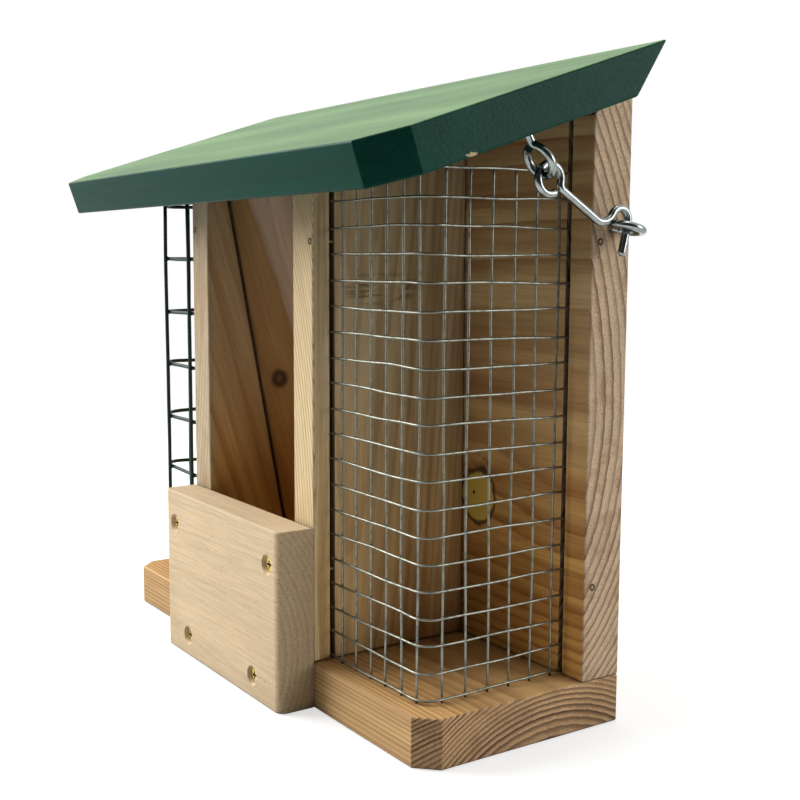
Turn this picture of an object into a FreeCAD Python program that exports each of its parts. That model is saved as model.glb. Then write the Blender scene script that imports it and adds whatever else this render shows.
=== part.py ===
"""Wooden bird feeder: a central seed hopper between two corner cages of bent wire mesh.

Millimetres and degrees. The origin is the centre of the base board's bottom face, +X is the feeder's
right as one faces its front, +Y points to its back and +Z points up. The sloping roof lifts off once
the two hook-and-eye latches under its side overhangs are swung out of their eyes.
"""
import FreeCAD, Part
import math
import os
from collections import namedtuple

from FreeCAD import Vector

# Base and back board
BASE_WIDTH = 250.0
BASE_DEPTH = 88.0
BASE_THICKNESS = 18.0
BASE_CORNER = 7.5
BACK_HEIGHT = 211.0
BACK_THICKNESS = 18.0
BACK_ARRIS = 3.0

# Dividers and the block that closes the seed tray
DIVIDER_THICKNESS = 15.0
HOPPER_WIDTH = 75.0
BLOCK_HEIGHT = 70.0
BLOCK_THICKNESS = 15.0
BLOCK_EDGE_RADIUS = 4.0

# Rounding of every other sawn edge of the boards
EASED_EDGE = 0.8

# Roof board, measured along its slope
ROOF_SLOPE = 18.6
ROOF_LENGTH = 124.0
ROOF_THICKNESS = 15.0
ROOF_SIDE_OVERHANG = 15.0
ROOF_CORNER = 13.0
ROOF_BACK_BEVEL = 19.0

# Hopper window, a clear sheet slid from above into a slanting kerf in each divider
WINDOW_THICKNESS = 2.0
WINDOW_TILT = 10.3
WINDOW_TOP_SETBACK = 9.5
WINDOW_FOOT_HEIGHT = 24.0
KERF_DEPTH = 5.0
KERF_SIDE_CLEARANCE = 0.2
KERF_END_CLEARANCE = 0.4
WINDOW_TOP_CLEARANCE = 0.6

# Both wire cages: the sheet's middle plane, and the groove that takes its ends
MESH_SIDE_INSET = 12.0
MESH_FRONT_INSET = 8.2
MESH_STUB = 1.2
MESH_TOP_CLEARANCE = 0.6
GROOVE_SIDE_CLEARANCE = 0.3
GROOVE_END_CLEARANCE = 0.4

# Fine galvanised mesh on the right, its upright wires inside the level ones
FINE_PITCH = 9.525
FINE_WIRE = 0.9
FINE_BEND_RADIUS = 6.0
FINE_FRONT_INSET = 3.2
FINE_BACK_INSET = 5.4

# Coarse plastic-coated mesh on the left, its upright wires outside the level ones
COARSE_PITCH = 25.0
COARSE_WIRE = 1.7
COARSE_BEND_RADIUS = 12.0
COARSE_FRONT_INSET = 4.2
COARSE_BACK_INSET = 6.1

# Brads that stop the mesh ends from sliding out of the grooves
BRAD_DIAMETER = 1.2
BRAD_HEAD_DIAMETER = 2.6
BRAD_HEAD_DEPTH = 0.6
BRAD_LENGTH = 18.0
BRAD_FOOT_RISE = 32.0
BRAD_TOP_DROP = 23.0
BRAD_WIRE_GAP = 0.3

# Countersunk screws
BLOCK_SCREW_DIAMETER = 3.0
BLOCK_SCREW_HEAD = 6.0
BLOCK_SCREW_CROSS = 3.2
BLOCK_SCREW_LENGTH = 30.0
BLOCK_SCREW_SINK = 1.2
BLOCK_SCREW_DROP = 14.0
BLOCK_SCREW_LOW_X = 30.0
BOARD_SCREW_DIAMETER = 3.5
BOARD_SCREW_HEAD = 7.0
BOARD_SCREW_CROSS = 4.0
BOARD_SCREW_LENGTH = 40.0
BOARD_SCREW_SINK = 0.4
BACK_FOOT_SCREW_INSET = 25.0
DIVIDER_FOOT_SCREW_INSET = 16.0
BACK_SCREW_FOOT_RISE = 32.0
BACK_SCREW_TOP_DROP = 55.0
SCREW_CROSS_WIDTH = 0.8
SCREW_MOUTH_FLARE = 0.75
PILOT_CLEARANCE = 0.1

# Hook-and-eye latches
LATCH_WIRE = 2.8
EYE_INNER_DIAMETER = 8.2
EYE_LENGTH = 16.5
POST_EYE_REACH = 7.5
ROOF_EYE_REACH = 10.0
ROOF_EYE_LEAN = 13.0
HOOK_RING_INNER_DIAMETER = 7.0
HOOK_RING_PLAY = 0.35
HOOK_SPAN = 37.0
HOOK_SHANK_DROP = 31.0
HOOK_RISE = 60.0
HOOK_LOW_BEND_RADIUS = 5.5
HOOK_TOP_BEND_RADIUS = 4.0
HOOK_TIP_ABOVE_EYE = 1.7
HOOK_TIP_BELOW_EYE = 8.6
HOOK_TIP_LEAN_SHARE = 0.6
RING_NECK_RADIUS = 2.2
RING_OPENING = 31.0

# How far a cut runs past the face that it opens
CUT_PAST = 1.0

# Places that follow from the sizes above
FRONT = -BASE_DEPTH / 2
REAR = BASE_DEPTH / 2
BACK_FACE = REAR - BACK_THICKNESS
END = BASE_WIDTH / 2
HOPPER_SIDE = HOPPER_WIDTH / 2
DIVIDER_FACE = HOPPER_SIDE + DIVIDER_THICKNESS
DIVIDER_MIDDLE = HOPPER_SIDE + DIVIDER_THICKNESS / 2
BACK_MIDDLE = REAR - BACK_THICKNESS / 2
SLOPE = math.radians(ROOF_SLOPE)
UP = Vector(0, 0, 1)
FORWARD = Vector(0, -1, 0)
BACKWARD = Vector(0, 1, 0)
DOWN_SLOPE = Vector(0, -math.cos(SLOPE), -math.sin(SLOPE))
ROOF_NORMAL_DOWN = Vector(0, math.sin(SLOPE), -math.cos(SLOPE))
EYE_LEAN = math.radians(ROOF_EYE_LEAN)
ROOF_EYE_AXIS = Vector(0, -math.sin(SLOPE + EYE_LEAN), math.cos(SLOPE + EYE_LEAN))

# Side is +1 on the feeder's right; uprights are +1 outside the level wires and -1 inside them
Mesh = namedtuple("Mesh", "side uprights pitch wire bend front_inset back_inset")
FINE = Mesh(1, -1, FINE_PITCH, FINE_WIRE, FINE_BEND_RADIUS, FINE_FRONT_INSET, FINE_BACK_INSET)
COARSE = Mesh(-1, 1, COARSE_PITCH, COARSE_WIRE, COARSE_BEND_RADIUS, COARSE_FRONT_INSET,
              COARSE_BACK_INSET)

Pin = namedtuple("Pin", "diameter head head_depth cross length sink")
BLOCK_SCREW = Pin(BLOCK_SCREW_DIAMETER, BLOCK_SCREW_HEAD,
                  (BLOCK_SCREW_HEAD - BLOCK_SCREW_DIAMETER) / 2, BLOCK_SCREW_CROSS,
                  BLOCK_SCREW_LENGTH, BLOCK_SCREW_SINK)
BOARD_SCREW = Pin(BOARD_SCREW_DIAMETER, BOARD_SCREW_HEAD,
                  (BOARD_SCREW_HEAD - BOARD_SCREW_DIAMETER) / 2, BOARD_SCREW_CROSS,
                  BOARD_SCREW_LENGTH, BOARD_SCREW_SINK)
BRAD = Pin(BRAD_DIAMETER, BRAD_HEAD_DIAMETER, BRAD_HEAD_DEPTH, 0, BRAD_LENGTH, 0)


def underside_height(y):
    """Height of the roof's underside, on which the back board and the dividers end."""
    return BASE_THICKNESS + BACK_HEIGHT - (REAR - y) * math.tan(SLOPE)


def box(x_low, x_high, y_low, y_high, z_low, z_high):
    return Part.makeBox(x_high - x_low, y_high - y_low, z_high - z_low, Vector(x_low, y_low, z_low))


def prism(points, sweep):
    """Solid swept from the closed outline through the points."""
    outline = Part.makePolygon(points + points[:1])
    return Part.Face(outline).extrude(sweep)


def side_prism(points, x_low, x_high):
    """Solid of a side profile, given as (y, z) pairs, between two places across the feeder."""
    return prism([Vector(x_low, y, z) for y, z in points], Vector(x_high - x_low, 0, 0))


def turned(points):
    """Solid of revolution about Z of a profile given as (radius, z) pairs."""
    outline = Part.makePolygon([Vector(r, 0, z) for r, z in points + points[:1]])
    return Part.Face(outline).revolve(Vector(0, 0, 0), UP, 360)


def aimed(shape, point, direction):
    """The shape carried from the origin to a point, with its +Z turned to the direction."""
    shape.Placement = FreeCAD.Placement(point, FreeCAD.Rotation(UP, direction))
    return shape


# Screws and brads lie along +Z with their heads' tops at the origin

def pin_profile(pin, growth):
    shank = pin.diameter / 2 + growth
    head = pin.head / 2 + growth
    tip_start = pin.length - pin.diameter
    return [(0, 0), (head, 0), (shank, pin.head_depth), (shank, tip_start), (0, pin.length + growth)]


def screw(pin, face_point, direction):
    body = turned(pin_profile(pin, 0))
    reach = pin.cross / 2
    half = SCREW_CROSS_WIDTH / 2
    slot = box(-reach, reach, -half, half, 0, pin.head_depth)
    crossed = box(-half, half, -reach, reach, 0, pin.head_depth)
    body = body.cut([slot, crossed])
    return aimed(body, face_point + direction * pin.sink, direction)


def screws(pin, face_points, direction):
    return Part.makeCompound([screw(pin, point, direction) for point in face_points])


def brad(face_point, direction):
    return aimed(turned(pin_profile(BRAD, 0)), face_point, direction)


def pin_hole(pin, face_point, direction):
    """Room for a screw or brad, with a mouth that widens to the face that it is driven through."""
    bore = turned(pin_profile(pin, PILOT_CLEARANCE))
    depth = pin.sink + CUT_PAST
    head = pin.head / 2 + PILOT_CLEARANCE
    mouth = Part.makeCone(head + depth * SCREW_MOUTH_FLARE, head, depth, Vector(0, 0, -depth))
    return aimed(bore.fuse(mouth), face_point + direction * pin.sink, direction)


def block_screw_places():
    """Two screws into the dividers, clear of the mesh grooves, and two into the base below."""
    places = []
    for mesh in (COARSE, FINE):
        wood_left = DIVIDER_THICKNESS - groove_depth(mesh, mesh.front_inset)
        x = mesh.side * (HOPPER_SIDE + wood_left / 2)
        places.append(Vector(x, FRONT - BLOCK_THICKNESS, BLOCK_HEIGHT - BLOCK_SCREW_DROP))
    for side in (-1, 1):
        places.append(Vector(side * BLOCK_SCREW_LOW_X, FRONT - BLOCK_THICKNESS, BASE_THICKNESS / 2))
    return places


def base_screw_places():
    """Screws up through the base, into the back board and into the dividers' feet."""
    outer = END - BACK_FOOT_SCREW_INSET
    places = [Vector(x, BACK_MIDDLE, 0) for x in (-outer, 0, outer)]
    for side in (-1, 1):
        for y in (FRONT + DIVIDER_FOOT_SCREW_INSET, BACK_FACE - DIVIDER_FOOT_SCREW_INSET):
            places.append(Vector(side * DIVIDER_MIDDLE, y, 0))
    return places


def back_screw_places():
    """Screws forward through the back board into the dividers' rear edges."""
    low = BASE_THICKNESS + BACK_SCREW_FOOT_RISE
    heights = (low, underside_height(BACK_FACE) - BACK_SCREW_TOP_DROP)
    return [Vector(side * DIVIDER_MIDDLE, REAR, z) for side in (-1, 1) for z in heights]


# Wire cages

def groove_depth(mesh, inset):
    return inset + mesh.wire / 2 + GROOVE_END_CLEARANCE


def groove_width(mesh):
    return 2 * (mesh.wire + GROOVE_SIDE_CLEARANCE)


def mesh_front():
    return FRONT + MESH_FRONT_INSET


def mesh_end():
    return END - MESH_SIDE_INSET


def first_row_height(mesh):
    return BASE_THICKNESS + MESH_STUB + mesh.wire / 2


def row_heights(mesh):
    """Heights of the level wires, as many as fit under the front of the roof."""
    front_face = mesh_front() - mesh.wire
    limit = underside_height(front_face) - MESH_TOP_CLEARANCE - mesh.wire / 2
    first = first_row_height(mesh)
    count = math.floor((limit - first) / mesh.pitch) + 1
    return [first + row * mesh.pitch for row in range(count)]


def run_lengths(mesh):
    """Lengths on the middle plane between the end wires: front run, bend and side run."""
    front_run = mesh_end() - mesh.bend - (DIVIDER_FACE - mesh.front_inset)
    side_run = BACK_FACE + mesh.back_inset - (mesh_front() + mesh.bend)
    return front_run, mesh.bend * math.pi / 2, side_run


def upright_places(mesh):
    """Plan places of the upright wires, which lie against the level ones."""
    front_run, bend_run, side_run = run_lengths(mesh)
    total = front_run + bend_run + side_run
    count = round(total / mesh.pitch)
    outward = mesh.uprights * mesh.wire / 2
    places = []
    for index in range(count + 1):
        along = total * index / count
        if along <= front_run:
            x = DIVIDER_FACE - mesh.front_inset + along
            y = mesh_front() - outward
        elif along <= front_run + bend_run:
            angle = (along - front_run) / mesh.bend
            x = mesh_end() - mesh.bend + (mesh.bend + outward) * math.sin(angle)
            y = mesh_front() + mesh.bend - (mesh.bend + outward) * math.cos(angle)
        else:
            x = mesh_end() + outward
            y = mesh_front() + mesh.bend + along - front_run - bend_run
        places.append((mesh.side * x, y))
    return places


def level_wire(mesh, height):
    """One level wire: along the front, round the bend and back along the end."""
    radius = mesh.bend - mesh.uprights * mesh.wire / 2
    corner_x = mesh.side * (mesh_end() - mesh.bend)
    corner_y = mesh_front() + mesh.bend
    divider_end = mesh.side * (DIVIDER_FACE - mesh.front_inset - mesh.wire / 2)
    start = Vector(divider_end, corner_y - radius, height)
    bend_start = Vector(corner_x, corner_y - radius, height)
    half = radius * math.sqrt(0.5)
    bend_middle = Vector(corner_x + mesh.side * half, corner_y - half, height)
    bend_end = Vector(corner_x + mesh.side * radius, corner_y, height)
    end = Vector(bend_end.x, BACK_FACE + mesh.back_inset + mesh.wire / 2, height)
    path = Part.Wire([
        Part.makeLine(start, bend_start),
        Part.Arc(bend_start, bend_middle, bend_end).toShape(),
        Part.makeLine(bend_end, end),
    ])
    section = Part.Wire(Part.makeCircle(mesh.wire / 2, start, Vector(mesh.side, 0, 0)))
    return path.makePipeShell([section], True, False)


def wire_cage(mesh):
    heights = row_heights(mesh)
    top = heights[-1] + mesh.wire / 2
    wires = [level_wire(mesh, height) for height in heights]
    for x, y in upright_places(mesh):
        foot = Vector(x, y, BASE_THICKNESS)
        wires.append(Part.makeCylinder(mesh.wire / 2, top - BASE_THICKNESS, foot))
    return Part.makeCompound(wires)


def brad_heights(mesh):
    """Heights midway between level wires, nearest the two wanted heights."""
    first = first_row_height(mesh)
    wanted = (BASE_THICKNESS + BRAD_FOOT_RISE, underside_height(FRONT) - BRAD_TOP_DROP)
    rows = [round((z - first) / mesh.pitch - 0.5) for z in wanted]
    return [first + (row + 0.5) * mesh.pitch for row in rows]


def brad_stand_off(mesh):
    return mesh.wire / 2 + BRAD_WIRE_GAP + BRAD_DIAMETER / 2


def divider_brad_places(mesh):
    x = mesh.side * (DIVIDER_FACE - mesh.front_inset + brad_stand_off(mesh))
    return [Vector(x, FRONT, z) for z in brad_heights(mesh)]


def back_brad_places(mesh):
    y = BACK_FACE + mesh.back_inset - brad_stand_off(mesh)
    return [Vector(mesh.side * END, y, z) for z in brad_heights(mesh)]


def toward_middle(mesh):
    return Vector(-mesh.side, 0, 0)


def mesh_brads(mesh):
    pins = [brad(place, BACKWARD) for place in divider_brad_places(mesh)]
    pins += [brad(place, toward_middle(mesh)) for place in back_brad_places(mesh)]
    return Part.makeCompound(pins)


def divider_groove(mesh):
    half = groove_width(mesh) / 2
    bottom = DIVIDER_FACE - groove_depth(mesh, mesh.front_inset)
    low_x, high_x = sorted((mesh.side * bottom, mesh.side * (DIVIDER_FACE + CUT_PAST)))
    top = underside_height(REAR)
    return box(low_x, high_x, mesh_front() - half, mesh_front() + half, 0, top)


def back_groove(mesh):
    half = groove_width(mesh) / 2
    middle = mesh.side * mesh_end()
    bottom = BACK_FACE + groove_depth(mesh, mesh.back_inset)
    opening = BACK_FACE - CUT_PAST
    return box(middle - half, middle + half, opening, bottom, 0, underside_height(REAR))


# Hopper window: its own directions, up the sheet and square to it

TILT = math.radians(WINDOW_TILT)
SHEET_UP = Vector(0, -math.sin(TILT), math.cos(TILT))
SHEET_BACK = Vector(0, math.cos(TILT), math.sin(TILT))


def window_top():
    y = FRONT + WINDOW_TOP_SETBACK
    return Vector(0, y, underside_height(y))


def full_length():
    """Length up the sheet's middle plane from its foot to the roof."""
    return (window_top().z - BASE_THICKNESS - WINDOW_FOOT_HEIGHT) / math.cos(TILT)


def top_spare():
    """What the sheet is shorter by, so that its front corner stays clear of the roof."""
    return WINDOW_TOP_CLEARANCE + WINDOW_THICKNESS * math.tan(TILT + SLOPE)


def sheet(half_width, thickness, length):
    """Slab on the window's middle plane, standing on the line of its foot."""
    foot = window_top() - SHEET_UP * full_length()
    corner = foot - SHEET_BACK * (thickness / 2) - Vector(half_width, 0, 0)
    across = Vector(2 * half_width, 0, 0)
    outline = [corner, corner + across, corner + across + SHEET_UP * length, corner + SHEET_UP * length]
    return prism(outline, SHEET_BACK * thickness)


def hopper_window():
    half_width = HOPPER_SIDE + KERF_DEPTH - KERF_END_CLEARANCE
    return sheet(half_width, WINDOW_THICKNESS, full_length() - top_spare())


def window_kerf():
    half_width = HOPPER_SIDE + KERF_DEPTH
    thickness = WINDOW_THICKNESS + 2 * KERF_SIDE_CLEARANCE
    return sheet(half_width, thickness, full_length() + top_spare() + CUT_PAST)


# Latches, in the plane through the post eyes' rings

EYE_RADIUS = (EYE_INNER_DIAMETER + LATCH_WIRE) / 2
HOOK_RING_RADIUS = (HOOK_RING_INNER_DIAMETER + LATCH_WIRE) / 2
RING_OFFSET = HOOK_RING_INNER_DIAMETER / 2 - LATCH_WIRE / 2 - HOOK_RING_PLAY


def latch_plane():
    return END + POST_EYE_REACH


def hook_pivot():
    """Centre of the roof eye's lowest strand, on which the hook's ring hangs."""
    y = BACK_MIDDLE - HOOK_SPAN
    below_roof = (ROOF_EYE_REACH + EYE_RADIUS) * math.cos(EYE_LEAN)
    z = underside_height(y) - below_roof / math.cos(SLOPE)
    return y, z


def heading(angle):
    return Vector(0, math.cos(angle), math.sin(angle))


def hook_layout():
    """Shank angle, rise angle, tip angle, shank length and the height of the post eye's ring.

    The tip leans between the way it leaves the ring when the roof is lifted straight up and the way
    it leaves when the hook swings, nearer to the second.
    """
    y, z = hook_pivot()
    shank = -math.radians(HOOK_SHANK_DROP)
    rise = math.radians(HOOK_RISE)
    lean = 0.0
    for _ in range(8):
        tip = -math.pi / 2 - lean
        bends_y = HOOK_LOW_BEND_RADIUS * (math.sin(rise) - math.sin(shank))
        bends_y += HOOK_TOP_BEND_RADIUS * (math.sin(rise) - math.sin(tip))
        bends_z = HOOK_LOW_BEND_RADIUS * (math.cos(shank) - math.cos(rise))
        bends_z += HOOK_TOP_BEND_RADIUS * (math.cos(tip) - math.cos(rise))
        tip_y = HOOK_TIP_ABOVE_EYE * math.cos(tip)
        tip_z = HOOK_TIP_ABOVE_EYE * math.sin(tip)
        length = (HOOK_SPAN - bends_y - tip_y) / math.cos(shank) - RING_OFFSET
        drop = (length + RING_OFFSET) * math.sin(shank) + bends_z + tip_z
        lean = HOOK_TIP_LEAN_SHARE * math.atan2(-drop, HOOK_SPAN)
    return shank, rise, tip, length, z + drop


def turn(point, angle, radius, to_angle):
    """Arc in the latch plane that leaves the point along one heading and ends along another."""
    side = 1 if to_angle > angle else -1
    quarter = math.pi / 2
    centre = point + heading(angle + side * quarter) * radius
    middle = centre - heading((angle + to_angle) / 2 + side * quarter) * radius
    end = centre - heading(to_angle + side * quarter) * radius
    return Part.Arc(point, middle, end).toShape(), end


def bent_ring(centre, along, across, radius):
    """Open ring and the neck that bends out of it into a shank.

    The shank leaves the ring's centre line along the first direction, and the neck swings to it from
    the second. Gives the two edges, the section at the ring's free end and the start of the shank.
    """
    def on_ring(angle):
        return centre + (along * math.cos(angle) + across * math.sin(angle)) * radius

    shank_start = math.sqrt(radius * (radius + 2 * RING_NECK_RADIUS))
    neck_centre = centre + along * shank_start + across * RING_NECK_RADIUS
    neck_angle = math.atan2(RING_NECK_RADIUS, shank_start)
    free_angle = 2 * math.pi - math.radians(RING_OPENING)
    free_end = on_ring(free_angle)
    neck_start = on_ring(neck_angle)
    neck_end = centre + along * shank_start
    neck_middle = (neck_start + neck_end) * 0.5 - neck_centre
    neck_middle = neck_centre + neck_middle.normalize() * RING_NECK_RADIUS
    ring = Part.Arc(free_end, on_ring((free_angle + neck_angle) / 2), neck_start).toShape()
    neck = Part.Arc(neck_start, neck_middle, neck_end).toShape()
    tangent = across * math.cos(free_angle) - along * math.sin(free_angle)
    section = Part.Wire(Part.makeCircle(LATCH_WIRE / 2, free_end, tangent))
    return [ring, neck], section, neck_end


def hook():
    """Hook of the right latch: ring, shank, gooseneck and tip bent from one wire."""
    shank, rise, tip, length, eye_height = hook_layout()
    y, z = hook_pivot()
    ring_centre = Vector(latch_plane(), y, z) + heading(shank) * RING_OFFSET
    ring, section, shank_start = bent_ring(
        ring_centre, heading(shank), heading(shank + math.pi / 2), HOOK_RING_RADIUS)
    shank_end = ring_centre + heading(shank) * length
    low_bend, low_end = turn(shank_end, shank, HOOK_LOW_BEND_RADIUS, rise)
    top_bend, top_end = turn(low_end, rise, HOOK_TOP_BEND_RADIUS, tip)
    tip_end = top_end + heading(tip) * (HOOK_TIP_ABOVE_EYE + HOOK_TIP_BELOW_EYE)
    path = Part.Wire(ring + [
        Part.makeLine(shank_start, shank_end), low_bend, top_bend, Part.makeLine(top_end, tip_end),
    ])
    rod = path.makePipeShell([section], True, False)
    return rod.fuse(Part.makeSphere(LATCH_WIRE / 2, tip_end))


def screw_eye(ring_centre, into_wood, across):
    """Screw eye bent from one wire, with its ring in the plane of its shank and the across direction."""
    ring, section, shank_start = bent_ring(ring_centre, into_wood, across, EYE_RADIUS)
    point_start = ring_centre + into_wood * (EYE_LENGTH - LATCH_WIRE)
    path = Part.Wire(ring + [Part.makeLine(shank_start, point_start)])
    rod = path.makePipeShell([section], True, False)
    point = Part.makeCone(LATCH_WIRE / 2, 0, LATCH_WIRE, point_start, into_wood)
    return rod.fuse(point)


def eye_hole(ring_centre, into_wood, reach):
    radius = LATCH_WIRE / 2 + PILOT_CLEARANCE
    start = ring_centre + into_wood * (reach - CUT_PAST)
    depth = EYE_LENGTH - reach + PILOT_CLEARANCE
    return Part.makeCylinder(radius, depth + CUT_PAST, start, into_wood)


def roof_eye_centre(side):
    y, z = hook_pivot()
    strand = Vector(side * latch_plane(), y, z)
    return strand + ROOF_EYE_AXIS * EYE_RADIUS


def post_eye_centre(side):
    return Vector(side * latch_plane(), BACK_MIDDLE, hook_layout()[4])


def roof_eye(side):
    """It leans forward, the way the hook pulls it."""
    return screw_eye(roof_eye_centre(side), ROOF_EYE_AXIS, Vector(side, 0, 0))


def post_eye(side):
    """Its ring is square to the hook's tip."""
    tip = hook_layout()[2]
    return screw_eye(post_eye_centre(side), Vector(-side, 0, 0), heading(tip + math.pi / 2))


def mirrored(shape):
    return shape.mirror(Vector(0, 0, 0), Vector(1, 0, 0))


# Boards

def eased(blank):
    return blank.makeFillet(EASED_EDGE, blank.Edges)


def base_board():
    low_corner = FRONT + BASE_CORNER
    outline = [
        Vector(-END, REAR, 0), Vector(-END, low_corner, 0), Vector(-END + BASE_CORNER, FRONT, 0),
        Vector(END - BASE_CORNER, FRONT, 0), Vector(END, low_corner, 0), Vector(END, REAR, 0),
    ]
    board = eased(prism(outline, Vector(0, 0, BASE_THICKNESS)))
    holes = [pin_hole(BOARD_SCREW, place, UP) for place in base_screw_places()]
    holes += [pin_hole(BLOCK_SCREW, place, BACKWARD) for place in block_screw_places()]
    return board.cut(holes)


def back_board():
    front_top = underside_height(BACK_FACE)
    arris_back = BACK_FACE + BACK_ARRIS
    profile = [
        (BACK_FACE, BASE_THICKNESS), (REAR, BASE_THICKNESS), (REAR, underside_height(REAR)),
        (arris_back, underside_height(arris_back)), (BACK_FACE, front_top - BACK_ARRIS),
    ]
    board = eased(side_prism(profile, -END, END))
    cuts = [back_groove(FINE), back_groove(COARSE)]
    cuts += [pin_hole(BOARD_SCREW, place, UP) for place in base_screw_places()]
    cuts += [pin_hole(BOARD_SCREW, place, FORWARD) for place in back_screw_places()]
    for mesh in (FINE, COARSE):
        cuts += [pin_hole(BRAD, place, toward_middle(mesh)) for place in back_brad_places(mesh)]
        cuts.append(eye_hole(post_eye_centre(mesh.side), toward_middle(mesh), POST_EYE_REACH))
    return board.cut(cuts)


def divider(mesh):
    profile = [
        (FRONT, BASE_THICKNESS), (BACK_FACE, BASE_THICKNESS),
        (BACK_FACE, underside_height(BACK_FACE)), (FRONT, underside_height(FRONT)),
    ]
    low_x, high_x = sorted((mesh.side * HOPPER_SIDE, mesh.side * DIVIDER_FACE))
    board = eased(side_prism(profile, low_x, high_x))
    cuts = [divider_groove(mesh), window_kerf()]
    cuts += [pin_hole(BOARD_SCREW, place, UP) for place in base_screw_places()]
    cuts += [pin_hole(BOARD_SCREW, place, FORWARD) for place in back_screw_places()]
    cuts += [pin_hole(BLOCK_SCREW, place, BACKWARD) for place in block_screw_places()]
    cuts += [pin_hole(BRAD, place, BACKWARD) for place in divider_brad_places(mesh)]
    return board.cut(cuts)


def front_block():
    block = box(-DIVIDER_FACE, DIVIDER_FACE, FRONT - BLOCK_THICKNESS, FRONT, 0, BLOCK_HEIGHT)
    front_face = FRONT - BLOCK_THICKNESS
    uprights = [edge for edge in block.Edges
                if abs(edge.CenterOfMass.z - BLOCK_HEIGHT / 2) < 1e-6
                and abs(edge.CenterOfMass.y - front_face) < 1e-6]
    block = block.makeFillet(BLOCK_EDGE_RADIUS, uprights)
    rims = [edge for edge in block.Edges if abs(edge.CenterOfMass.z - BLOCK_HEIGHT / 2) > 1]
    block = block.makeFillet(EASED_EDGE, rims)
    return block.cut([pin_hole(BLOCK_SCREW, place, BACKWARD) for place in block_screw_places()])


def roof_board():
    top_z = underside_height(REAR) + ROOF_THICKNESS / math.cos(SLOPE)
    half = END + ROOF_SIDE_OVERHANG

    def roof_point(x, along, depth):
        origin = Vector(x, REAR, top_z)
        return origin + DOWN_SLOPE * along + ROOF_NORMAL_DOWN * depth

    shoulder = ROOF_LENGTH - ROOF_CORNER
    plan = [
        (-half, 0), (half, 0), (half, shoulder), (half - ROOF_CORNER, ROOF_LENGTH),
        (-half + ROOF_CORNER, ROOF_LENGTH), (-half, shoulder),
    ]
    outline = [roof_point(x, along, 0) for x, along in plan]
    board = eased(prism(outline, ROOF_NORMAL_DOWN * ROOF_THICKNESS))
    beside = -half - CUT_PAST
    bevel = [
        roof_point(beside, 0, 0), roof_point(beside, ROOF_BACK_BEVEL, ROOF_THICKNESS),
        roof_point(beside, -CUT_PAST, ROOF_THICKNESS), roof_point(beside, -CUT_PAST, 0),
    ]
    cuts = [prism(bevel, Vector(-2 * beside, 0, 0))]
    for side in (-1, 1):
        cuts.append(eye_hole(roof_eye_centre(side), ROOF_EYE_AXIS, ROOF_EYE_REACH))
    return board.cut(cuts)


def all_parts():
    return {
        "base_board": base_board(),
        "back_board": back_board(),
        "left_divider": divider(COARSE),
        "right_divider": divider(FINE),
        "front_block": front_block(),
        "hopper_window": hopper_window(),
        "coarse_mesh": wire_cage(COARSE),
        "fine_mesh": wire_cage(FINE),
        "coarse_mesh_brads": mesh_brads(COARSE),
        "fine_mesh_brads": mesh_brads(FINE),
        "block_screws": screws(BLOCK_SCREW, block_screw_places(), BACKWARD),
        "base_screws": screws(BOARD_SCREW, base_screw_places(), UP),
        "back_screws": screws(BOARD_SCREW, back_screw_places(), FORWARD),
        "left_post_eye": post_eye(-1),
        "right_post_eye": post_eye(1),
        "roof_board": roof_board(),
        "left_roof_eye": roof_eye(-1),
        "right_roof_eye": roof_eye(1),
        "left_hook": mirrored(hook()),
        "right_hook": hook(),
    }


os.makedirs("parts", exist_ok=True)
for name, shape in all_parts().items():
    shape.exportStep(f"parts/{name}.step")
pivot_y, pivot_z = hook_pivot()
print(f"hook pivots at x = +-{latch_plane():.3f}, y = {pivot_y:.3f}, z = {pivot_z:.3f}")
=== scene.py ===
"""Looks of the wooden bird feeder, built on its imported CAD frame.

Metres, in the frame of the CAD model: +X is the feeder's right, +Y its back and +Z up. The boards, the
fittings and the window are CAD nodes with procedural materials. The two wire cages are modelled here,
wire by wire, with the small unevenness and the weld spots of real mesh.
"""

import math
import random
from collections import namedtuple

import bmesh
import bpy
from mathutils import Matrix, Vector


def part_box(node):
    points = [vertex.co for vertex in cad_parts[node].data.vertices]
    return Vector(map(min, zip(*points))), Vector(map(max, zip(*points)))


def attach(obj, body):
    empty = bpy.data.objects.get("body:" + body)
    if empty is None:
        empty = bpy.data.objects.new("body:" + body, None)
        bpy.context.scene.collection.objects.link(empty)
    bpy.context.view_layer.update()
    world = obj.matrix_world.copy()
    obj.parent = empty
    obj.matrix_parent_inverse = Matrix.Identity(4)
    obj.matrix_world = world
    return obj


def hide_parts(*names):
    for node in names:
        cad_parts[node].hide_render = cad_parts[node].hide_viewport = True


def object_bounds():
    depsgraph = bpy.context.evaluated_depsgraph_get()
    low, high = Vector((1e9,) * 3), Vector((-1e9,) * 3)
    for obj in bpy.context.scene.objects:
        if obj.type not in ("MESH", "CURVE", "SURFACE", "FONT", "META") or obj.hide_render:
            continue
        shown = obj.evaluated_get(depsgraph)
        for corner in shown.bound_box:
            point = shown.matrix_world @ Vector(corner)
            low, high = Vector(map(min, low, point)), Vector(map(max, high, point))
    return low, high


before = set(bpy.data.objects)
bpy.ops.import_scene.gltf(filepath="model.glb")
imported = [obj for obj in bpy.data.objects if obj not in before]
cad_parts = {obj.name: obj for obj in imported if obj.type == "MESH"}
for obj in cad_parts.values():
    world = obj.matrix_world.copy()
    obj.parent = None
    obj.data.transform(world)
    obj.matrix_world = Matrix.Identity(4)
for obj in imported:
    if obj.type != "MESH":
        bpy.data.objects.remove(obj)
cad_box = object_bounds()

MM = 0.001
RIGHT = (1, 0, 0)
BACK = (0, 1, 0)
UP = (0, 0, 1)
WHITE = (1, 1, 1, 1)

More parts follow.
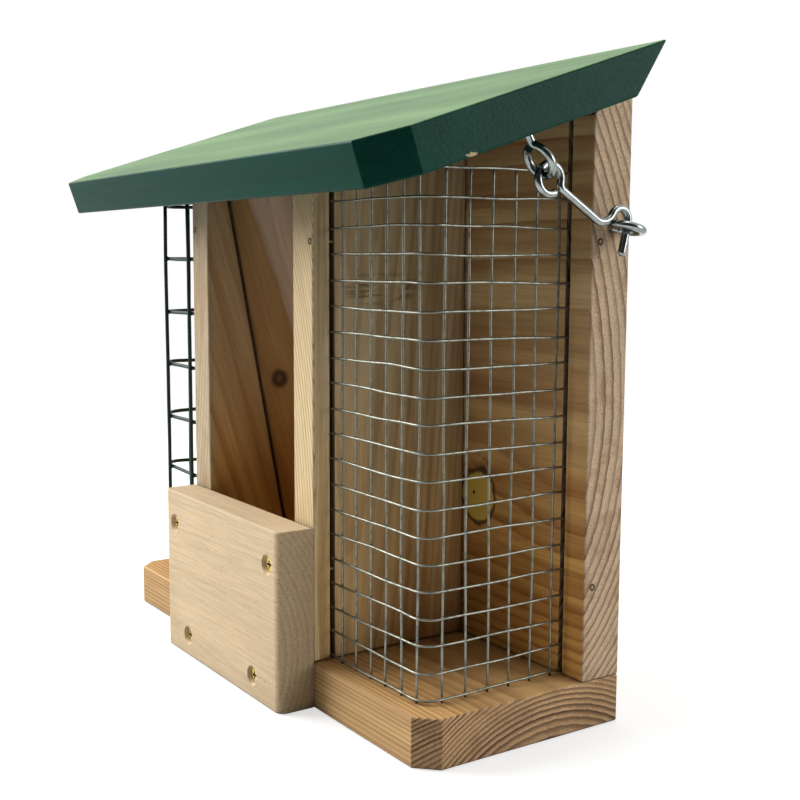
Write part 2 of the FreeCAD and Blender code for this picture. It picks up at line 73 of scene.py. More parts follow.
# Camera, at the photograph's viewing angle
CAMERA_PLACE = (0.431953, -0.261701, 0.170659)
CAMERA_TURN = math.radians(55.936)
CAMERA_DIP = math.radians(6.801)
CAMERA_ROLL = math.radians(0.263)
CAMERA_LENS = 53.42
CAMERA_SENSOR = 36.0

# In the values below, a noise is given as cells in a metre and detail. A range is the two levels that are
# read and then, where they are named too, the two levels that are given for them. A ragged outline is a
# factor for its noise and what is added to that.

# Studio: lamps at the front left, at the back right and overhead, and a room that is darker on the camera's
# side. The range for that side is in cosines.
AMBIENT = 0.44
DARK_SIDE = Vector((0.855, -0.518, 0.0))
DARK_SHARE = 0.05
DARK_RANGE = (0.1, 0.8, 1.0, DARK_SHARE)
Lamp = namedtuple("Lamp", "name place size power")
LAMPS = [
    Lamp("key", (-1.40, -1.15, 1.20), 1.6, 57.0),
    Lamp("fill", (1.36, 1.12, 0.55), 1.0, 14.0),
    Lamp("top", (0.0, 0.0, 1.75), 1.2, 14.0),
]
LAMP_TARGET = Vector((0, 0, 0.11))

# Floor: the light it scatters and its glow, by distance from the middle, and what its reflection keeps
# towards the dark side of the room
FLOOR_RADIUS = 1.6
FLOOR_SIDES = 96
FLOOR_GAP = 0.2 * MM
FLOOR_ROUGHNESS = 0.9
FLOOR_MATT = (0.35, 0.85, 0.5, 0.0)
FLOOR_GLOW = (0.25, 0.85, 0.62, 1.0)
FLOOR_DARK = (0.30, 0.75, 1.0, DARK_SHARE)

# Wire cages. The places of the wires follow from the CAD nodes' boxes. Uprights are +1 outside the level
# wires and -1 inside them.
Cage = namedtuple("Cage", "node piece slot uprights wire pitch bend waver weld sides seed")
CAGES = [
    Cage(node="fine_mesh", piece="fine_mesh_wires", slot="galvanised", uprights=-1, wire=0.9 * MM,
         pitch=9.525 * MM, bend=6.0 * MM, waver=0.32 * MM, weld=0.70, sides=10, seed=3),
    Cage(node="coarse_mesh", piece="coarse_mesh_wires", slot="green_wire", uprights=1, wire=1.7 * MM,
         pitch=25.0 * MM, bend=12.0 * MM, waver=0.35 * MM, weld=0.62, sides=14, seed=8),
]
STEPS_PER_BEND_RADIUS = 8
STEPS_PER_PITCH = 3
WAVER_TURNS = (1, 2, 3, 5)
WAVER_HEIGHTS = (0.6, 1.0)
WELD_SIZES = (0.9, 1.1)
WELD_SUBDIVISIONS = 2


def srgb(red, green, blue):
    """Linear colour, with alpha, of a screen colour given in 0 to 255."""
    def linear(value):
        value /= 255
        return value / 12.92 if value <= 0.04045 else ((value + 0.055) / 1.055) ** 2.4
    return (linear(red), linear(green), linear(blue), 1.0)


def mm(point):
    """A point that is given in millimetres."""
    return Vector(point) * MM


# How a board is cut from its tree, in millimetres: the way the grain runs, a point on the pith, the share
# by which rings are squeezed above it, how the grain bows on the front edge, the ring widths at two
# distances from the pith, how far the rings sway, where in a year the late wood starts, and how strong it is
# on the long faces. Then the colours of early and late wood along the board and on its ends, how much the
# board is streaked, banded and flecked, the painted warm bounce light and shade on its foot, given as a tint,
# and the tint of its front edge.
Board = namedtuple("Board", "grain pith above bow rings sway late_from contrast early late "
                            "end_early end_late streaks bands flecks foot_tint front_tint")
PLAIN = (1, 1, 1)
BOARDS = {
    "base_board": Board(
        grain=(1, 0, 0), pith=(0, 12, -55), above=1.0, bow=0, rings=((58, 3.3), (85, 1.35)), sway=5,
        late_from=0.32, contrast=0.70, early=srgb(217, 179, 125), late=srgb(156, 108, 60),
        end_early=srgb(220, 178, 130), end_late=srgb(68, 38, 18),
        streaks=0.25, bands=0.20, flecks=0.25, foot_tint=(1.0, 0.95, 0.86), front_tint=PLAIN),
    "back_board": Board(
        grain=(1, 0, 0), pith=(0, -78, 117), above=0.73, bow=0, rings=((108, 4.3), (150, 2.5)), sway=7,
        late_from=0.50, contrast=0.70, early=srgb(240, 204, 146), late=srgb(160, 100, 52),
        end_early=srgb(222, 194, 160), end_late=srgb(124, 90, 60),
        streaks=0.40, bands=0.55, flecks=0.25, foot_tint=(0.84, 0.66, 0.36), front_tint=PLAIN),
    "left_divider": Board(
        grain=(0, -0.3, 0.95), pith=(-122, -6, 117), above=1.0, bow=0, rings=((80, 2.9), (95, 2.4)), sway=11,
        late_from=0.45, contrast=0.50, early=srgb(228, 202, 160), late=srgb(176, 130, 86),
        end_early=srgb(200, 176, 138), end_late=srgb(140, 108, 74),
        streaks=0.35, bands=0.45, flecks=0.15, foot_tint=(1.02, 0.82, 0.50),
        front_tint=(0.82, 0.88, 0.98)),
    "right_divider": Board(
        grain=(0.02, 0.04, 1), pith=(-12, -28, 50), above=1.0, bow=0.0017, rings=((50, 2.0), (85, 1.75)),
        sway=3, late_from=0.50, contrast=0.60, early=srgb(228, 204, 160), late=srgb(176, 136, 88),
        end_early=srgb(200, 176, 138), end_late=srgb(140, 108, 74),
        streaks=0.60, bands=0.35, flecks=0.20, foot_tint=(1.22, 1.10, 0.88),
        front_tint=(1.04, 1.06, 1.06)),
    "front_block": Board(
        grain=(1, 0.02, 0), pith=(0, -110, 24), above=1.0, bow=0, rings=((50, 2.6), (80, 2.0)), sway=3,
        late_from=0.40, contrast=0.40, early=srgb(220, 196, 160), late=srgb(210, 182, 144),
        end_early=srgb(214, 190, 152), end_late=srgb(198, 172, 132),
        streaks=0.05, bands=0.05, flecks=0.40, foot_tint=PLAIN, front_tint=PLAIN),
}

# Where a board's faces begin, as ranges of place or of the direction that a face looks
FRONT_EDGE = (-43.6 * MM, -41 * MM, 1.0, 0.0)
# FOOT: heights over which the painted warm bounce light and shade on a board's foot fades out
FOOT = (45 * MM, 150 * MM, 1.0, 0.0)
END_FACING = (0.30, 0.70)
REAR_FACING = (0.4, 0.8)

# Rings: the share of late wood at the start and at the end of a year, as positions and levels, and how it
# rises in between
YEAR_START = ((0.0, 0.15), (0.05, 0.0))
YEAR_END = ((0.90, 1.0), (0.96, 0.9), (1.0, 0.15))
LATE_STARTED = 0.10
LATE_RISE = 0.3
LATE_RISEN = 0.70
YEARS_STRENGTH = (0, 1, 0.65, 1.0)
SWAY_NOISE = (15.0, 1.0)
NOISE_MIDDLE = 0.5
RING_NOISE = (260.0, 2.0)
RING_UNEVEN = 0.30

# Textures of wood. Patterns are drawn out along the grain, where these shares of a length are left.
FINE_SHARE = 0.03
BROAD_SHARE = 0.25
FIBRE_NOISE = (1300.0, 3.0)
FIBRE_SHADE = (0.25, 0.75, 0.88, 1.09)
FIBRE_ROUGHNESS = (0.2, 0.8, 0.62, 0.80)
CLOUD_NOISE = (38.0, 3.0)
CLOUD_SHADE = (0.25, 0.75, 0.90, 1.07)
STREAK_NOISE = (150.0, 3.0)
STREAK_RANGE = (0.45, 0.72)
BAND_NOISE = (60.0, 2.0)
BAND_RANGE = (0.48, 0.66)
FLECK_NOISE = (1500.0, 1.0)
FLECK_RANGE = (0.66, 0.78)
FLECK_COLOUR = srgb(120, 84, 54)
PORE_NOISE = (1500.0, 1.0)
PORE_RANGE = (0.56, 0.68)
PORE_DARK = 0.45
BOWED_EDGE_PATTERN = 0.1
WORN_REACH = 1.4 * MM
WORN_NOISE = (420.0, 3.0)
WORN_SHARE = 0.35
WORN_COLOUR = srgb(226, 204, 168)
# Painted shade in recesses and corners: how far open air is looked for, and the range of darkening
PAINTED_RECESS_SHADE = [(5 * MM, (0.25, 0.70, 0.35, 1.0)), (40 * MM, (0.30, 0.80, 0.80, 1.0))]
LATE_RELIEF = 0.5
LATE_SMOOTHER = -0.10
WOOD_RELIEF = 0.12 * MM
WOOD_GLOSS = 0.25
OCCLUSION_SAMPLES = 6

# Knots and patches, in millimetres: place and axis, radius, how far they push the rings aside, how softly the
# rim fades as a share of the radius, and the colours of core and rim
Knot = namedtuple("Knot", "point axis radius push soft core rim")
KNOTS = {
    "left_divider": [
        Knot((-37.5, -8.9, 117), (1, 0, 0), 2.9, 1.0, 0.85, srgb(150, 118, 100), srgb(50, 32, 26)),
    ],
    "back_board": [
        Knot((62.6, 26, 76.5), (0, 1, 0), 11.0, 3, 0.10, srgb(226, 196, 92), srgb(64, 40, 22)),
        Knot((59.8, 26, 77.6), (0, 1, 0), 0.7, 0, 0.10, srgb(70, 46, 24), srgb(70, 46, 24)),
    ],
}
KNOT_DEPTH = 5 * MM
KNOT_CLOSING = 4.0
KNOT_NOISE = (160.0, 3.0)
KNOT_RAGGED = (0.5, 0.75)
KNOT_PUSH_RADII = 5
KNOT_RIM = (0.94, 1.02)
KNOT_RIM_STRENGTH = 0.85
KNOT_CORE = (0.90, 1.05)

# Torn dark places, in millimetres: the middle, how far they reach each way, how their lines are drawn out,
# and the colour
Torn = namedtuple("Torn", "point reach lines colour")
TORN = {
    "right_divider": [
        Torn((52.5, -14, 159), (8, 24, 8), (1, 0.14, 1), srgb(74, 54, 38)),
    ],
    "back_board": [Torn((64.5, 26, 89.5), (7, 8, 6), (1, 1, 0.45), srgb(62, 40, 24))],
}
TORN_THINNING = (0.35, 1.0, 1.0, 0.0)
TORN_NOISE = (620.0, 3.0)
TORN_LINES = (0.46, 0.60, 0.0, 0.65)

# Green roof: stain on its edges and underside, and on top a paler green that is faded stain and a painted
# sheen, both brushed along X. Paint is knocked off its lower edges in chips, each a place and a radius in
# millimetres.
ROOF_PAINT = srgb(4, 56, 45)
ROOF_PAINT_LIT = srgb(12, 70, 56)
ROOF_TOP_FADE_AND_SHEEN = srgb(67, 107, 61)
ROOF_TOP_FADE_AND_SHEEN_PALE = srgb(107, 140, 88)
ROOF_TOP_SHEEN_FACING = (0.55, 0.93)
ROOF_BRUSHED = (0.035, 1, 1)
ROOF_CLOUDED = (0.2, 1, 1)
ROOF_STREAK_NOISE = (620.0, 3.0)
ROOF_BAND_NOISE = (120.0, 2.0)
ROOF_BAND_SHADE = (0.3, 0.7, 0.93, 1.07)
ROOF_CLOUD_NOISE = (34.0, 3.0)
ROOF_CLOUD_SHADE = (0.3, 0.7, 0.92, 1.08)
ROOF_FADE_AND_SHEEN_MOTTLE = (0.6, 1.4)
ROOF_PORE_NOISE = (1900.0, 1.0)
ROOF_PORE_RELIEF = 0.5
ROOF_WORN_NOISE = (300.0, 4.0)
ROOF_WORN_RANGE = (0.42, 0.68)
ROOF_WORN_SHARE = 0.25
ROOF_WORN_COLOUR = srgb(96, 128, 104)
ROOF_CHIPS = [((140, -37.9, 202.1), 1.1), ((-140, 8, 217.4), 1.4)]
CHIP_STRETCH = (1, 0.5, 1.4)
CHIP_NOISE = (900.0, 2.0)
CHIP_RAGGED = (2.4, -0.2)
CHIP_CORE = 0.7
CHIP_COLOUR = srgb(206, 184, 142)
ROOF_RELIEF = 0.13 * MM
ROOF_ROUGHNESS = (0.2, 0.8, 0.32, 0.44)
ROOF_GLOSS = 0.06

# Metals: the colours and the roughness of bright and of dull places, and the cells of tarnish in a metre
Metal = namedtuple("Metal", "name bright dull cells smooth rough")
ZINC = Metal("bright_zinc", srgb(150, 157, 155), srgb(114, 122, 120), 300.0, 0.14, 0.26)
BRASS = Metal("brass", srgb(222, 194, 118), srgb(170, 136, 70), 700.0, 0.20, 0.42)
GALVANISED = Metal("galvanised_wire", srgb(138, 139, 128), srgb(98, 102, 94), 420.0, 0.40, 0.55)
METAL_DETAIL = 2.0
SPECKS_PER_CLOUD = 7
SPECK_SHARE = 0.3
TARNISH_RANGE = (0.5, 1.0)
# Painted shade in the metal's recesses
METAL_SHADE_REACH = 1.5 * MM
METAL_RECESS_SHADE = (0.2, 0.9, 0.40, 1.0)
METAL_RELIEF = 0.01 * MM

# Filled brads
FILLER_NOISE = (1400.0, 2.0)
FILLER_DARK = srgb(150, 120, 90)
FILLER_PALE = srgb(206, 178, 142)
FILLER_RIM_REACH = 0.5 * MM
FILLER_RIM = (0.15, 0.40, 0.0, 0.9)
FILLER_RIM_COLOUR = srgb(48, 34, 26)
FILLER_RELIEF = 0.05 * MM
FILLER_ROUGHNESS = (0.2, 0.8, 0.65, 0.85)
FILLER_GLOSS = 0.25

# Plastic coat of the coarse mesh
COAT_NOISE = (900.0, 2.0)
COAT_DARK = srgb(14, 46, 40)
COAT_LIT = srgb(24, 60, 52)
SCUFF_NOISE = (260.0, 4.0)
SCUFF_RANGE = (0.56, 0.74)
SCUFF_SHARE = 0.3
SCUFF_COLOUR = srgb(60, 90, 80)
COAT_RELIEF = 0.05 * MM
COAT_ROUGHNESS = (0.0, 1.0, 0.42, 0.6)
COAT_GLOSS = 0.25

# Clear window. Painted shade, where it stands in its kerfs, begins between two distances in from its upright
# edges.
CLEAR_TINT = (0.86, 0.81, 0.73, 1)
CLEAR_IOR = 1.15
KERF_SHADE_FROM = 4.55 * MM
KERF_SHADE_FULL = 4.35 * MM
KERF_SHADE_COLOUR = srgb(112, 86, 60)
SCRATCH_DRAWN = (1, 0.08, 0.08)
SCRATCH_NOISE = (1500.0, 2.0)
SCRATCH_RANGE = (0.62, 0.75)
SCRATCH_ROUGHNESS = 0.10
SCRATCH_RELIEF = 0.01 * MM
HAZE_NOISE = (60.0, 2.0)
HAZE_ROUGHNESS = (0.3, 0.8, 0.01, 0.05)


class Nodes:
    """A node tree, built from its coordinates towards its output."""

    def __init__(self, tree):
        self.tree = tree

    def feed(self, socket, value):
        """Link the socket to another one, or give it a plain value."""
        if isinstance(value, bpy.types.NodeSocket):
            self.tree.links.new(value, socket)
        else:
            socket.default_value = value

    def node(self, kind, inputs, **settings):
        node = self.tree.nodes.new(kind)
        for key, value in settings.items():
            setattr(node, key, value)
        for key, value in inputs.items():
            self.feed(node.inputs[key], value)
        return node

    def math(self, operation, *values):
        return self.node("ShaderNodeMath", dict(enumerate(values)), operation=operation).outputs[0]

    def opposite(self, value):
        return self.math("SUBTRACT", 1.0, value)

    def vector(self, operation, *values):
        node = self.node("ShaderNodeVectorMath", dict(enumerate(values)), operation=operation)
        measures = operation in ("DOT_PRODUCT", "LENGTH")
        return node.outputs["Value" if measures else "Vector"]

    def scaled(self, vector, factor):
        inputs = {0: vector, "Scale": factor}
        return self.node("ShaderNodeVectorMath", inputs, operation="SCALE").outputs["Vector"]

    def spread(self, value, low, high, to_low=0.0, to_high=1.0):
        """The value eased from one range to another, and held at its ends."""
        inputs = {0: value, 1: low, 2: high, 3: to_low, 4: to_high}
        return self.node("ShaderNodeMapRange", inputs, interpolation_type="SMOOTHSTEP").outputs[0]

    def ray(self, name):
        return self.node("ShaderNodeLightPath", {}).outputs[name]

    def reflected(self):
        """1 for the rays that metal or glass sends on, 0 for the rest."""
        return self.math("MAXIMUM", self.ray("Is Glossy Ray"), self.ray("Is Transmission Ray"))


class Shader(Nodes):
    """The nodes of a new material."""

    def __init__(self, name):
        self.material = bpy.data.materials.new(name)
        self.material.use_nodes = True
        super().__init__(self.material.node_tree)
        self.surface = self.tree.nodes["Principled BSDF"]
        coordinates = self.node("ShaderNodeTexCoord", {})
        self.place = coordinates.outputs["Object"]
        self.normal = coordinates.outputs["Normal"]

    def measured(self, axis):
        """Place along one axis."""
        return self.vector("DOT_PRODUCT", self.place, axis)

    def facing(self, axis):
        """1 where the surface looks along the axis, -1 where it looks back along it."""
        return self.vector("DOT_PRODUCT", self.normal, axis)

    def noise(self, place, cells, detail):
        inputs = {"Vector": place, "Scale": cells, "Detail": detail}
        return self.node("ShaderNodeTexNoise", inputs).outputs["Fac"]

    def ramp(self, factor, *stops):
        """A grey curve through the stops, each a position and a level."""
        node = self.node("ShaderNodeValToRGB", {0: factor})
        elements = node.color_ramp.elements
        while len(elements) < len(stops):
            elements.new(0.5)
        for element, (position, level) in zip(elements, stops):
            element.position = position
            element.color = (level, level, level, 1)
        return node.outputs[0]

    def mix(self, factor, first, second):
        """One colour turned into the other. The node has sockets of their own for colours."""
        node = self.node("ShaderNodeMix", {0: factor, 6: first, 7: second}, data_type="RGBA")
        return node.outputs[2]

    def shaded(self, colour, value, levels):
        """The colour, darkened and lit as the value goes through its range."""
        return self.scaled(colour, self.spread(value, *levels))

    def drawn_out(self, across, grain, along, share):
        """Coordinates in which patterns are drawn out along the grain."""
        return self.vector("ADD", across, self.scaled(grain, self.math("MULTIPLY", along, share)))

    def edges(self, reach):
        """1 on the solid's outer edges, 0 away from them."""
        node = self.node("ShaderNodeAmbientOcclusion", {"Distance": reach}, inside=True, only_local=True,
                         samples=OCCLUSION_SAMPLES)
        return self.opposite(node.outputs["AO"])

    def open_air(self, reach):
        """1 in the open, falling to 0 in recesses and corners."""
        node = self.node("ShaderNodeAmbientOcclusion", {"Distance": reach}, samples=OCCLUSION_SAMPLES)
        return node.outputs["AO"]

    def bump(self, height, distance):
        node = self.node("ShaderNodeBump", {"Height": height, "Distance": distance})
        self.feed(self.surface.inputs["Normal"], node.outputs["Normal"])

    def finish(self, **inputs):
        for key, value in inputs.items():
            self.feed(self.surface.inputs[key.replace("_", " ")], value)
        return self.material


# Wood

# Place across the grain from the pith, the same drawn out a lot and a little along the grain, and 1 on the
# faces that cut the grain and on the front edge
Cut = namedtuple("Cut", "across fine broad end front")


def across_and_along(shader, board, grain, front):
    """Place across the grain, from the pith, and distance along it."""
    from_pith = shader.vector("SUBTRACT", shader.place, mm(board.pith))
    along = shader.vector("DOT_PRODUCT", from_pith, grain)
    across = shader.vector("SUBTRACT", from_pith, shader.scaled(grain, along))
    if board.above != 1.0:
        height = shader.math("MAXIMUM", shader.vector("DOT_PRODUCT", across, UP), 0.0)
        across = shader.vector("ADD", across, shader.scaled((0, 0, board.above - 1), height))
    if board.bow:
        bowed = shader.math("MAXIMUM", along, 0.0)
        bowed = shader.math("MULTIPLY", shader.math("MULTIPLY", bowed, bowed), front)
        across = shader.vector("ADD", across, shader.scaled((board.bow / MM, 0, 0), bowed))
    return across, along


def cut_board(shader, board):
    grain = Vector(board.grain).normalized()
    front = shader.spread(shader.measured(BACK), *FRONT_EDGE)
    across, along = across_and_along(shader, board, grain, front)
    fine = shader.drawn_out(across, grain, along, FINE_SHARE)
    broad = shader.drawn_out(across, grain, along, BROAD_SHARE)
    end = shader.spread(shader.math("ABSOLUTE", shader.facing(grain)), *END_FACING)
    return Cut(across, fine, broad, end, front)


def knot_distance(shader, knot):
    """Distance from the knot's axis, plain, and with a ragged outline that closes below the face."""
    from_knot = shader.vector("SUBTRACT", shader.place, mm(knot.point))
    depth = shader.vector("DOT_PRODUCT", from_knot, knot.axis)
    flat = shader.vector("SUBTRACT", from_knot, shader.scaled(Vector(knot.axis), depth))
    plain = shader.vector("LENGTH", flat)
    ragged = shader.math("MULTIPLY_ADD", shader.noise(shader.place, *KNOT_NOISE), *KNOT_RAGGED)
    below = shader.math("MAXIMUM", shader.math("SUBTRACT", shader.math("ABSOLUTE", depth), KNOT_DEPTH), 0.0)
    closing = shader.math("MULTIPLY", below, KNOT_CLOSING)
    return plain, shader.math("MULTIPLY_ADD", plain, ragged, closing)


def ring_distance(shader, board, knots, cut):
    """Distance from the pith with its sway, pushed aside by knots, and each knot with its own distance."""
    sway = shader.math("SUBTRACT", shader.noise(cut.broad, *SWAY_NOISE), NOISE_MIDDLE)
    radius = shader.math("MULTIPLY_ADD", sway, board.sway * MM, shader.vector("LENGTH", cut.across))
    marks = []
    for knot in knots:
        plain, ragged = knot_distance(shader, knot)
        pushed = shader.spread(plain, 0, KNOT_PUSH_RADII * knot.radius * MM, knot.push * MM, 0.0)
        radius = shader.math("ADD", radius, pushed)
        marks.append((knot, ragged))
    return radius, marks


def ring_count(shader, radius, rings):
    """Rings passed on the way out from the pith, with widths that change from the first to the second."""
    (near, near_width), (far, far_width) = rings
    rate = (1 / far_width - 1 / near_width) / (far - near) / MM ** 2
    start = (1 / near_width) / MM - rate * near * MM
    squared = shader.math("MULTIPLY", radius, radius)
    return shader.math("MULTIPLY_ADD", squared, rate / 2, shader.math("MULTIPLY", radius, start))


def late_wood(shader, count, late_from):
    """0 in the early wood of each year, rising to 1 in its late wood, with stronger and weaker years."""
    ring = shader.math("FRACT", count)
    late = shader.ramp(ring, *YEAR_START, (late_from, LATE_STARTED), (late_from + LATE_RISE, LATE_RISEN),
                       *YEAR_END)
    year = shader.node("ShaderNodeTexWhiteNoise", {"W": shader.math("FLOOR", count)}, noise_dimensions="1D")
    return shader.math("MULTIPLY", late, shader.spread(year.outputs["Value"], *YEARS_STRENGTH))


def late_share(shader, board, cut, radius):
    """How much late wood shows, fully on the ends and on the front edge of a board with bowed grain."""
    count = shader.math("MULTIPLY_ADD", shader.noise(cut.fine, *RING_NOISE), RING_UNEVEN,
                        ring_count(shader, radius, board.rings))
    strength = shader.spread(cut.end, 0, 1, board.contrast, 1.0)
    if board.bow:
        strength = shader.math("MAXIMUM", strength, cut.front)
    return shader.math("MULTIPLY", late_wood(shader, count, board.late_from), strength)


def wood_colour(shader, board, cut, late, fibres, flecks):
    clouds = shader.noise(cut.broad, *CLOUD_NOISE)
    streaks = shader.spread(shader.noise(cut.fine, *STREAK_NOISE), *STREAK_RANGE, 0.0, board.streaks)
    bands = shader.spread(shader.noise(cut.fine, *BAND_NOISE), *BAND_RANGE, 0.0, board.bands)
    if board.bow:
        kept = shader.spread(cut.front, 0, 1, 1.0, BOWED_EDGE_PATTERN)
        streaks = shader.math("MULTIPLY", streaks, kept)
        bands = shader.math("MULTIPLY", bands, kept)
    bands = shader.math("MULTIPLY", bands, shader.opposite(cut.end))
    pores = shader.spread(shader.noise(cut.across, *PORE_NOISE), *PORE_RANGE)
    pores = shader.math("MULTIPLY", pores, cut.end)

    colour = shader.mix(cut.end, shader.mix(late, board.early, board.late),
                        shader.mix(late, board.end_early, board.end_late))
    colour = shader.mix(streaks, colour, shader.mix(clouds, board.late, board.end_late))
    colour = shader.mix(bands, colour, board.late)
    colour = shader.shaded(colour, fibres, FIBRE_SHADE)
    colour = shader.shaded(colour, clouds, CLOUD_SHADE)
    colour = shader.mix(flecks, colour, FLECK_COLOUR)
    return shader.shaded(colour, pores, (0, 1, 1.0, 1 - PORE_DARK * board.contrast))


def foot_lit_and_tinted(shader, board, cut, colour):
    """Painted warm bounce light on the foot, apart from ends, front edge and rear, and the front edge tinted.
    """
    if board.foot_tint != PLAIN:
        rear = shader.spread(shader.facing(BACK), *REAR_FACING)
        outside = shader.math("MAXIMUM", shader.math("MAXIMUM", cut.end, cut.front), rear)
        # Painted warm bounce light and shade, strongest low on the board
        low = shader.spread(shader.measured(UP), *FOOT)
        colour = shader.mix(shader.math("MULTIPLY", low, shader.opposite(outside)), colour,
                            shader.vector("MULTIPLY", colour, board.foot_tint))
    if board.front_tint != PLAIN:
        colour = shader.mix(cut.front, colour, shader.vector("MULTIPLY", colour, board.front_tint))
    return colour


def knot_colour(shader, colour, knot, distance):
    radius = knot.radius * MM
    rim_from, rim_to = KNOT_RIM
    core_from, core_to = KNOT_CORE
    inner = shader.spread(distance, (rim_from - knot.soft) * radius, rim_from * radius)
    outer = shader.spread(distance, rim_to * radius, (rim_to + knot.soft) * radius, KNOT_RIM_STRENGTH, 0.0)
    core = shader.spread(distance, core_from * radius, core_to * radius, 1.0, 0.0)
    colour = shader.mix(core, colour, knot.core)
    return shader.mix(shader.math("MULTIPLY", inner, outer), colour, knot.rim)


def torn_place(shader, colour, torn):
    """Fibres pulled and darkened in broken lines, thinning out from the middle."""
    reach = [1 / (size * MM) for size in torn.reach]
    off = shader.vector("MULTIPLY", shader.vector("SUBTRACT", shader.place, mm(torn.point)), reach)
    inside = shader.spread(shader.vector("LENGTH", off), *TORN_THINNING)
    lines = shader.noise(shader.vector("MULTIPLY", shader.place, torn.lines), *TORN_NOISE)
    lines = shader.spread(lines, *TORN_LINES)
    return shader.mix(shader.math("MULTIPLY", inside, lines), colour, torn.colour)


def worn_with_painted_shade(shader, colour):
    """The colour with paler worn edges, and with painted shade in recesses and corners."""
    worn = shader.math("MULTIPLY", shader.edges(WORN_REACH), shader.noise(shader.place, *WORN_NOISE))
    colour = shader.mix(shader.math("MULTIPLY", worn, WORN_SHARE), colour, WORN_COLOUR)
    # Painted shade where little open air is near
    for reach, shade in PAINTED_RECESS_SHADE:
        colour = shader.shaded(colour, shader.open_air(reach), shade)
    return colour


def wood(name, board, knots, torn_places):
    shader = Shader(name)
    cut = cut_board(shader, board)
    radius, marks = ring_distance(shader, board, knots, cut)
    late = late_share(shader, board, cut, radius)
    fibres = shader.noise(cut.fine, *FIBRE_NOISE)
    flecks = shader.spread(shader.noise(cut.broad, *FLECK_NOISE), *FLECK_RANGE, 0.0, board.flecks)

    colour = wood_colour(shader, board, cut, late, fibres, flecks)
    colour = foot_lit_and_tinted(shader, board, cut, colour)
    for knot, distance in marks:
        colour = knot_colour(shader, colour, knot, distance)
    for torn in torn_places:
        colour = torn_place(shader, colour, torn)
    colour = worn_with_painted_shade(shader, colour)

    relief = shader.math("MULTIPLY_ADD", late, LATE_RELIEF, fibres)
    shader.bump(shader.math("SUBTRACT", relief, flecks), WOOD_RELIEF)
    roughness = shader.math("MULTIPLY_ADD", late, LATE_SMOOTHER, shader.spread(fibres, *FIBRE_ROUGHNESS))
    return shader.finish(Base_Color=colour, Roughness=roughness, Specular_IOR_Level=WOOD_GLOSS)


# Other materials

def chipped(shader, colour, place, radius):
    """The colour with a ragged chip that shows the bare wood."""
    off = shader.vector("SUBTRACT", shader.place, mm(place))
    away = shader.vector("LENGTH", shader.vector("MULTIPLY", off, CHIP_STRETCH))
    ragged = shader.math("MULTIPLY_ADD", shader.noise(shader.place, *CHIP_NOISE), *CHIP_RAGGED)
    away = shader.math("MULTIPLY", away, ragged)
    chip = shader.spread(away, CHIP_CORE * radius * MM, radius * MM, 1.0, 0.0)
    return shader.mix(chip, colour, CHIP_COLOUR)


def roof_stain():
    """Opaque green stain, brushed along the board, through which the grain still shows."""
    shader = Shader("green_roof_stain")
    brushed = shader.vector("MULTIPLY", shader.place, ROOF_BRUSHED)
    streaks = shader.noise(brushed, *ROOF_STREAK_NOISE)
    bands = shader.noise(brushed, *ROOF_BAND_NOISE)
    clouds = shader.noise(shader.vector("MULTIPLY", shader.place, ROOF_CLOUDED), *ROOF_CLOUD_NOISE)
    pores = shader.noise(brushed, *ROOF_PORE_NOISE)
    # Painted sheen: the top is a paler green, partly faded stain and partly the light that the top reflects
    top = shader.spread(shader.facing(UP), *ROOF_TOP_SHEEN_FACING)
    fade_and_sheen_mottle = shader.spread(shader.math("ADD", streaks, clouds), *ROOF_FADE_AND_SHEEN_MOTTLE)
    worn = shader.spread(shader.noise(shader.place, *ROOF_WORN_NOISE), *ROOF_WORN_RANGE)
    worn = shader.math("MULTIPLY", shader.edges(WORN_REACH), worn)

    colour = shader.mix(top, shader.mix(streaks, ROOF_PAINT, ROOF_PAINT_LIT),
                        shader.mix(fade_and_sheen_mottle, ROOF_TOP_FADE_AND_SHEEN, ROOF_TOP_FADE_AND_SHEEN_PALE))
    colour = shader.shaded(colour, bands, ROOF_BAND_SHADE)
    colour = shader.shaded(colour, clouds, ROOF_CLOUD_SHADE)
    colour = shader.mix(shader.math("MULTIPLY", worn, ROOF_WORN_SHARE), colour, ROOF_WORN_COLOUR)
    for place, radius in ROOF_CHIPS:
        colour = chipped(shader, colour, place, radius)

    shader.bump(shader.math("MULTIPLY_ADD", pores, ROOF_PORE_RELIEF, streaks), ROOF_RELIEF)
    roughness = shader.spread(streaks, *ROOF_ROUGHNESS)
    return shader.finish(Base_Color=colour, Roughness=roughness, Specular_IOR_Level=ROOF_GLOSS)


def metal(kind):
    """Plated metal: cloudy tarnish, fine grain, and painted shade that darkens its recesses."""
    shader = Shader(kind.name)
    clouds = shader.noise(shader.place, kind.cells, METAL_DETAIL)
    specks = shader.noise(shader.place, kind.cells * SPECKS_PER_CLOUD, METAL_DETAIL)
    tarnish = shader.spread(shader.math("MULTIPLY_ADD", specks, SPECK_SHARE, clouds), *TARNISH_RANGE)
    colour = shader.mix(tarnish, kind.bright, kind.dull)
    # Painted shade in recesses
    colour = shader.shaded(colour, shader.open_air(METAL_SHADE_REACH), METAL_RECESS_SHADE)
    shader.bump(specks, METAL_RELIEF)
    roughness = shader.spread(tarnish, 0.0, 1.0, kind.smooth, kind.rough)
    return shader.finish(Base_Color=colour, Metallic=1.0, Roughness=roughness)


